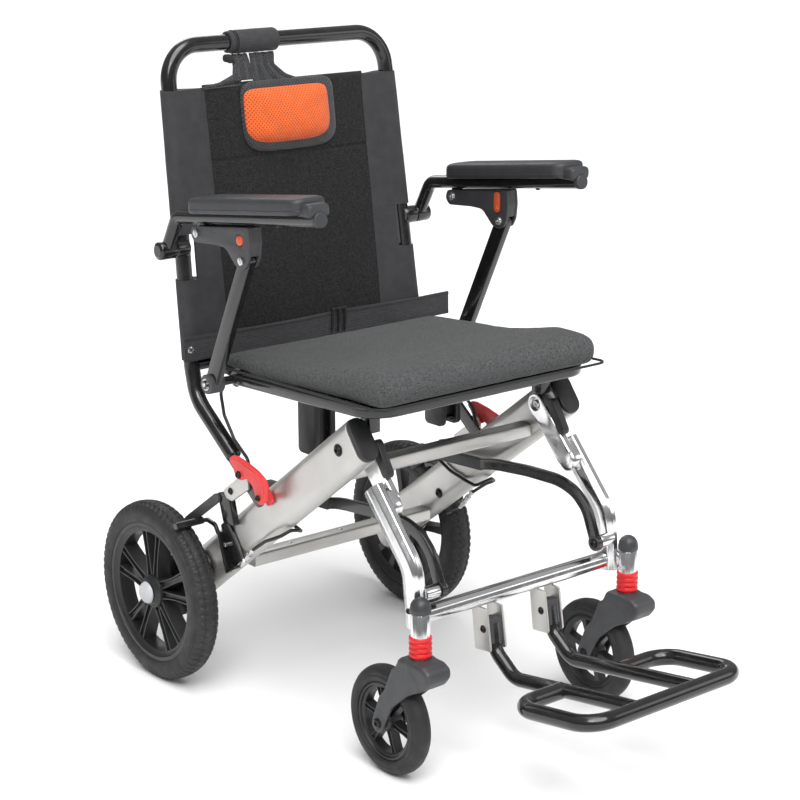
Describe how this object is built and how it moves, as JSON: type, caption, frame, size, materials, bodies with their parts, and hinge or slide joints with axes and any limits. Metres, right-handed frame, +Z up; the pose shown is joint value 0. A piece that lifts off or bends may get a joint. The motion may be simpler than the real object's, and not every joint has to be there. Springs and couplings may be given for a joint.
{
  "type": "transport wheelchair",
  "caption": "Folding transport wheelchair with flip-up armrests, swing-up footrest loop, swivel casters and a folding back.",
  "frame": {"origin": "on the floor under the middle of the bounding box", "axes": "the chair faces -Y, +X is the sitter's left side, +Z is up"},
  "size_m": [0.5238, 0.9097, 0.9085],
  "materials": {
    "satin_aluminium": "satin anodised",
    "polished_aluminium": "polished, fluted",
    "black_paint": "gloss black powder coat",
    "dark_plastic": "dark grey moulded, fine texture",
    "cable_black": "black cable sheath",
    "red_plastic": "red moulded",
    "orange_plastic": "orange moulded",
    "tyre_rubber": "black treaded rubber",
    "rim_plastic": "black moulded rim",
    "hub_grey": "light grey cap",
    "arm_pad_foam": "soft grey foam skin",
    "seat_fabric": "grey heather weave",
    "back_fabric": "charcoal heather weave",
    "headrest_mesh": "orange air mesh",
    "webbing": "smooth grey webbing"
  },
  "bodies": {
    "chassis": {"main_tube_left": "satin_aluminium", "main_tube_right": "satin_aluminium", "tube_cap_left": "dark_plastic", "tube_cap_right": "dark_plastic", "axle_housing_left": "dark_plastic", "axle_housing_right": "dark_plastic", "hinge_bracket_left": "satin_aluminium", "hinge_bracket_right": "satin_aluminium", "brake_arm_left": "black_paint", "brake_arm_right": "black_paint", "brake_cable_left": "cable_black", "brake_cable_right": "cable_black", "mid_crossbar": "satin_aluminium", "rear_crossbar": "satin_aluminium"},
    "front_frame": {"front_leg_left": "polished_aluminium", "front_leg_right": "polished_aluminium", "post_cap_left": "dark_plastic", "post_cap_right": "dark_plastic", "post_collar_left": "red_plastic", "post_collar_right": "red_plastic", "foot_bracket_left": "satin_aluminium", "foot_bracket_right": "satin_aluminium", "front_crossbar": "polished_aluminium"},
    "back_frame": {"back_tube": "black_paint", "back_sling": "back_fabric", "headrest": "headrest_mesh", "handle_strap": "webbing", "lap_belt": "webbing", "belt_buckle": "dark_plastic"},
    "seat": {"seat_frame": "black_paint", "seat_cushion": "seat_fabric", "seat_support_left": "black_paint", "seat_support_right": "black_paint"},
    "footrest": {"footrest": "black_paint"},
    "lever_left": {"fold_lever_left": "red_plastic"},
    "rear_wheel_left": {"rear_tyre_left": "tyre_rubber", "rear_rim_left": "rim_plastic", "hub_cap_left": "hub_grey"},
    "link_left": {"link_bar_left": "black_paint"},
    "caster_left": {"caster_fork_left": "dark_plastic"},
    "caster_wheel_left": {"caster_tyre_left": "tyre_rubber", "caster_rim_left": "rim_plastic"},
    "armrest_left": {"arm_tube_left": "black_paint", "arm_pad_left": "arm_pad_foam"},
    "bracket_left": {"arm_bracket_left": "dark_plastic"},
    "button_left": {"arm_button_left": "orange_plastic"},
    "strut_left": {"arm_strut_left": "black_paint"},
    "lever_right": {"fold_lever_right": "red_plastic"},
    "rear_wheel_right": {"rear_tyre_right": "tyre_rubber", "rear_rim_right": "rim_plastic", "hub_cap_right": "hub_grey"},
    "link_right": {"link_bar_right": "black_paint"},
    "caster_right": {"caster_fork_right": "dark_plastic"},
    "caster_wheel_right": {"caster_tyre_right": "tyre_rubber", "caster_rim_right": "rim_plastic"},
    "armrest_right": {"arm_tube_right": "black_paint", "arm_pad_right": "arm_pad_foam"},
    "bracket_right": {"arm_bracket_right": "dark_plastic"},
    "button_right": {"arm_button_right": "orange_plastic"},
    "strut_right": {"arm_strut_right": "black_paint"}
  },
  "joints": [
    {"name": "back_fold", "type": "hinge", "parent": "chassis", "child": "back_frame", "pos_m": [0, 0.1197, 0.3091], "axis": [1, 0, 0], "range_deg": [0, 60]},
    {"name": "seat_fold", "type": "hinge", "parent": "back_frame", "child": "seat", "pos_m": [0, 0.191, 0.459], "axis": [1, 0, 0], "range_deg": [-90, 0]},
    {"name": "leg_fold", "type": "hinge", "parent": "chassis", "child": "front_frame", "pos_m": [0, -0.044, 0.414], "axis": [1, 0, 0], "range_deg": [0, 42]},
    {"name": "footrest_fold", "type": "hinge", "parent": "front_frame", "child": "footrest", "pos_m": [0, -0.18, 0.178], "axis": [-1, 0, 0], "range_deg": [0, 92]},
    {"name": "lever_left_release", "type": "hinge", "parent": "chassis", "child": "lever_left", "pos_m": [0.2137, 0.1456, 0.3402], "axis": [-1, 0, 0], "range_deg": [0, 14], "stiffness_Nm_per_rad": 0.6, "springref_deg": -8.59},
    {"name": "rear_wheel_left_spin", "type": "hinge", "parent": "chassis", "child": "rear_wheel_left", "pos_m": [0.233, 0.325, 0.13], "axis": [1, 0, 0], "continuous": true},
    {"name": "link_left_fold", "type": "hinge", "parent": "front_frame", "child": "link_left", "pos_m": [0.1368, -0.178, 0.2515], "axis": [1, 0, 0], "range_deg": [-49, 0]},
    {"name": "caster_left_swivel", "type": "hinge", "parent": "front_frame", "child": "caster_left", "pos_m": [0.183, -0.1935, 0.1765], "axis": [0, 0, 1], "continuous": true},
    {"name": "caster_left_spin", "type": "hinge", "parent": "caster_left", "child": "caster_wheel_left", "pos_m": [0.183, -0.1335, 0.073], "axis": [1, 0, 0], "continuous": true},
    {"name": "armrest_left_lift", "type": "hinge", "parent": "back_frame", "child": "armrest_left", "pos_m": [0.222, 0.292, 0.625], "axis": [-1, 0, 0], "range_deg": [0, 46]},
    {"name": "bracket_left_swing", "type": "hinge", "parent": "armrest_left", "child": "bracket_left", "pos_m": [0.222, 0.205, 0.662], "axis": [1, 0, 0], "range_deg": [0, 66]},
    {"name": "strut_left_swing", "type": "hinge", "parent": "back_frame", "child": "strut_left", "pos_m": [0.222, 0.191, 0.459], "axis": [-1, 0, 0], "range_deg": [0, 20]},
    {"name": "button_left_press", "type": "slide", "parent": "bracket_left", "child": "button_left", "axis": [-1, 0, 0], "range_m": [0, 0.002], "stiffness_N_per_m": 300, "springref_m": -0.002},
    {"name": "lever_right_release", "type": "hinge", "parent": "chassis", "child": "lever_right", "pos_m": [-0.2137, 0.1456, 0.3402], "axis": [-1, 0, 0], "range_deg": [0, 14], "stiffness_Nm_per_rad": 0.6, "springref_deg": -8.59},
    {"name": "rear_wheel_right_spin", "type": "hinge", "parent": "chassis", "child": "rear_wheel_right", "pos_m": [-0.233, 0.325, 0.13], "axis": [1, 0, 0], "continuous": true},
    {"name": "link_right_fold", "type": "hinge", "parent": "front_frame", "child": "link_right", "pos_m": [-0.1368, -0.178, 0.2515], "axis": [1, 0, 0], "range_deg": [-49, 0]},
    {"name": "caster_right_swivel", "type": "hinge", "parent": "front_frame", "child": "caster_right", "pos_m": [-0.183, -0.1935, 0.1765], "axis": [0, 0, 1], "continuous": true},
    {"name": "caster_right_spin", "type": "hinge", "parent": "caster_right", "child": "caster_wheel_right", "pos_m": [-0.183, -0.1335, 0.073], "axis": [1, 0, 0], "continuous": true},
    {"name": "armrest_right_lift", "type": "hinge", "parent": "back_frame", "child": "armrest_right", "pos_m": [-0.222, 0.292, 0.625], "axis": [-1, 0, 0], "range_deg": [0, 46]},
    {"name": "bracket_right_swing", "type": "hinge", "parent": "armrest_right", "child": "bracket_right", "pos_m": [-0.222, 0.205, 0.662], "axis": [1, 0, 0], "range_deg": [0, 66]},
    {"name": "strut_right_swing", "type": "hinge", "parent": "back_frame", "child": "strut_right", "pos_m": [-0.222, 0.191, 0.459], "axis": [-1, 0, 0], "range_deg": [0, 20]},
    {"name": "button_right_press", "type": "slide", "parent": "bracket_right", "child": "button_right", "axis": [1, 0, 0], "range_m": [0, 0.002], "stiffness_N_per_m": 300, "springref_m": -0.002}
  ],
  "couplings": [
    {"joint": "seat_fold", "follows": "back_fold", "ratio": -1.5},
    {"joint": "leg_fold", "follows": "back_fold", "ratio": 0.7},
    {"joint": "link_left_fold", "follows": "back_fold", "ratio": -0.8166},
    {"joint": "bracket_left_swing", "follows": "armrest_left_lift", "ratio": 1.43},
    {"joint": "strut_left_swing", "follows": "armrest_left_lift", "ratio": 0.425},
    {"joint": "link_right_fold", "follows": "back_fold", "ratio": -0.8166},
    {"joint": "bracket_right_swing", "follows": "armrest_right_lift", "ratio": 1.43},
    {"joint": "strut_right_swing", "follows": "armrest_right_lift", "ratio": 0.425}
  ]
}
